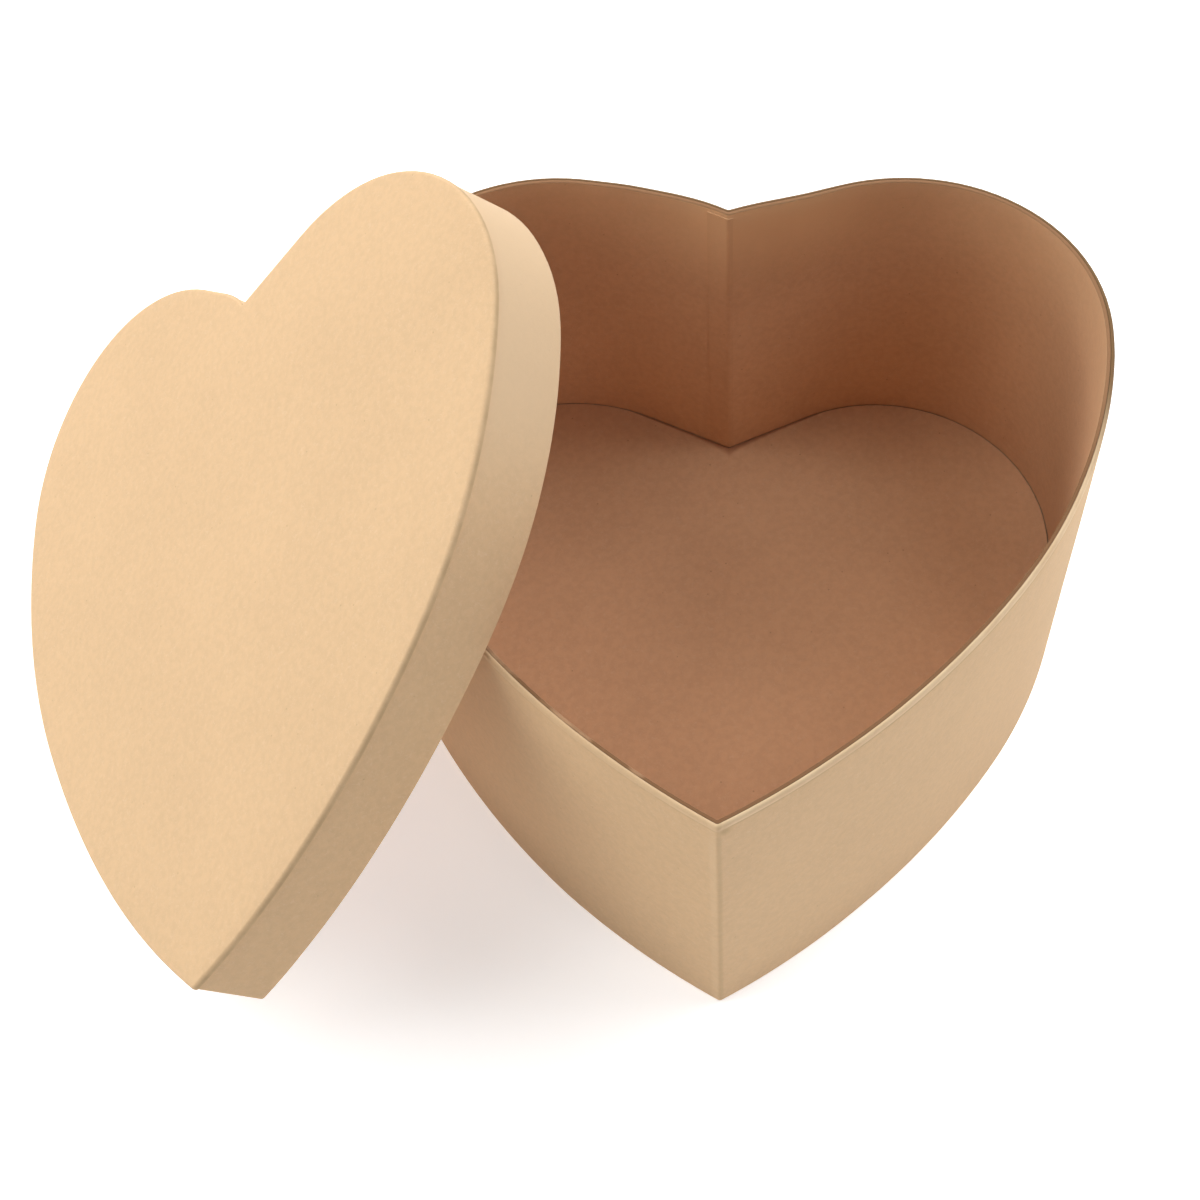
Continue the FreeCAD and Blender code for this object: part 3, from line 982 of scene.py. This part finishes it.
def makeLidCover():
    look = lidCover
    piece = startPiece("lid_top_paper")
    edge = lidOut + look["proud"]
    rings = [(edge, -look["lip"]), (edge, 0)]
    rings += [(edge - step, look["crown"] * share) for step, share in look["rise"]]
    drawn = drawPanel(piece, rings, look)
    roundFolds(piece, drawn[1], look["fold"], look["foldSegments"])
    faceOut(piece, upward)
    thicken(piece, paper)
    markFlat(piece, look["crown"])
    settleLid(piece)
    finishPiece(piece, "lid", "lid_top_cover", "lipKraft", lidMatrix)


lidWrap = {
    "flange": 0.25 * mm, "turnOver": 10.0 * mm, "neck": 0.4 * mm,  # under the top paper's lip
    "shoulder": 1.2 * mm, "shoulderFold": 0.2 * mm, "fold": 0.5 * mm, "crest": 1.2 * mm,
    "tipFold": 1.0 * mm, "cleftFold": 0.8 * mm, "rows": 5,
}


def makeLidWrap():
    look = lidWrap
    piece = startPiece("lid_rim_wrap_paper")
    neck = lidOut - look["neck"]
    rings = ((lidOut - look["turnOver"], -look["flange"]), (neck, -look["flange"]), (neck, -look["shoulder"]),
             (lidOut, -look["shoulder"]), (lidOut, -lidDepth), (lidOut - look["crest"], -lidDepth))
    drawn = drawRings(piece, rings, look)
    bridgeRings(piece, drawn, (0, 0, 0, look["rows"], 0))
    roundFolds(piece, drawn[3], look["shoulderFold"])
    roundFolds(piece, drawn[4], look["fold"])
    faceOut(piece, away)
    thicken(piece, paper)
    markFlat(piece, -lidDepth)
    settleLid(piece)
    finishPiece(piece, "lid", "lid_rim_wrap", "lidKraft", lidMatrix)


lidLining = {
    "top": 1.95 * mm, "rise": 0.02 * mm, "crest": 1.3 * mm, "fold": 0.22 * mm,
    "tipFold": 0.5 * mm, "cleftFold": 1.2 * mm, "rows": 5,
}


def makeLidLining():
    look = lidLining
    piece = startPiece("lid_rim_lining_paper")
    low = look["rise"] - lidDepth
    inner = lidOut - wall
    drawn = drawRings(piece, ((inner, -look["top"]), (inner, low), (lidOut - look["crest"], low)), look)
    bridgeRings(piece, drawn, (look["rows"], 0))
    roundFolds(piece, drawn[1], look["fold"])
    faceOut(piece, inward)
    thicken(piece, paper)
    markFlat(piece, -lidDepth)
    settleLid(piece)
    finishPiece(piece, "lid", "lid_rim_lining", "brownKraft", lidMatrix)


lidRimBoard = {
    "skin": 0.25 * mm, "top": 2.25 * mm, "rise": 0.3 * mm, "edgeRound": 0.15 * mm, "edgeSegments": 2,
    "tipFold": 0.6 * mm, "cleftFold": 1.0 * mm, "rows": 4,
}


def makeLidRimBoard():
    look = lidRimBoard
    piece = startPiece("lid_rim_board_strip")
    outer, inner = lidOut - look["skin"], lidOut - wall + look["skin"]
    low = look["rise"] - lidDepth
    drawn = drawRings(piece, ((outer, low), (outer, -look["top"]), (inner, -look["top"]), (inner, low)), look)
    bridgeRings(piece, drawn, (look["rows"], 0, look["rows"], 0))
    roundFolds(piece, set().union(*drawn), look["edgeRound"], look["edgeSegments"])
    closeBoard()
    markFlat(piece)
    settleLid(piece)
    finishPiece(piece, "lid", "lid_rim_board", "greyBoard", lidMatrix)


lidTopLining = {"edge": 0.5 * mm, "level": 1.95 * mm, "tipFold": 0.4 * mm, "cleftFold": 0.5 * mm}


def makeLidTopLining():
    look = lidTopLining
    piece = startPiece("lid_top_lining_paper")
    edge = lidOut - wall - look["edge"]
    drawPanel(piece, flatRings(edge, edge, -look["level"]), look)
    faceOut(piece, downward)
    thicken(piece, paper)
    markFlat(piece)
    settleLid(piece)
    finishPiece(piece, "lid", "lid_top_lining", "brownKraft", lidMatrix)


lidTopBoard = {
    "edge": 1.45 * mm, "level": 0.5 * mm, "thickness": 1.2 * mm,
    "tipFold": 0.4 * mm, "cleftFold": 0.5 * mm,
}


def makeLidTopBoard():
    look = lidTopBoard
    piece = startPiece("lid_top_board_panel")
    edge = lidOut - look["edge"]
    drawPanel(piece, flatRings(edge, edge, -look["level"]), look)
    faceOut(piece, upward)
    thicken(piece, look["thickness"])
    markFlat(piece)
    settleLid(piece)
    finishPiece(piece, "lid", "lid_top_board", "greyBoard", lidMatrix)


lidStay = {
    "left": 4.2 * mm, "right": 7.0 * mm, "leftSteps": 4, "rightSteps": 3,
    "rise": 0.9 * mm, "top": 2.3 * mm, "rows": 3,
    "fold": 1.2 * mm, "stock": 0.15 * mm, "gap": 0.02 * mm,
}


def makeLidStay():
    look = lidStay
    piece = startPiece("lid_cleft_stay_paper")
    drawStay(piece, look, lidOut - wall, look["rise"] - lidDepth, -look["top"])
    markFlat(piece, -lidDepth)
    settleLid(piece)
    finishPiece(piece, "lid", "lid_cleft_stay", "brownKraft", lidMatrix)


setCamera(photoView)
setStage()
makeTrayWrap()
makeTrayLining()
makeWallBoard()
makeTrayFloor()
makeTrayUnderside()
makeTrayBase()
makeTrayStay()
makeLidCover()
makeLidWrap()
makeLidLining()
makeLidRimBoard()
makeLidTopLining()
makeLidTopBoard()
makeLidStay()
